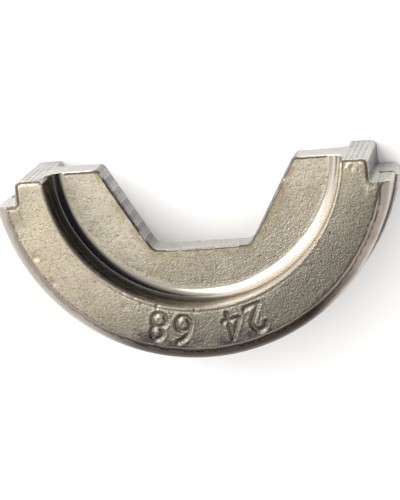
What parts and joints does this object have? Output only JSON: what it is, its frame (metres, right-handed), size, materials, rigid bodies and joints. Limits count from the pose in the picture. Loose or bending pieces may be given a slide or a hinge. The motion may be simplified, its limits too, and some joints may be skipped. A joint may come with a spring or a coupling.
{
  "type": "crimping die half",
  "caption": "Half of a hexagonal crimping die for cable lugs: a thick half-round rim round a thinner web with a half-hexagon nest.",
  "frame": {"origin": "centre of the closed hexagon, in the plane of the end faces, at the level of the lower side face of the rim", "axes": "+Z along the axis of the lug, from the lower side face of the rim to the marked one; +Y out of the nest, square to the end faces; +X from one end face to the other"},
  "size_m": [0.0428, 0.0207, 0.0146],
  "materials": {
    "nickel_plate": "satin nickel plating over an as-forged skin, polished in the machined hollows"
  },
  "bodies": {
    "root": {"die_half": "nickel_plate"}
  },
  "joints": []
}
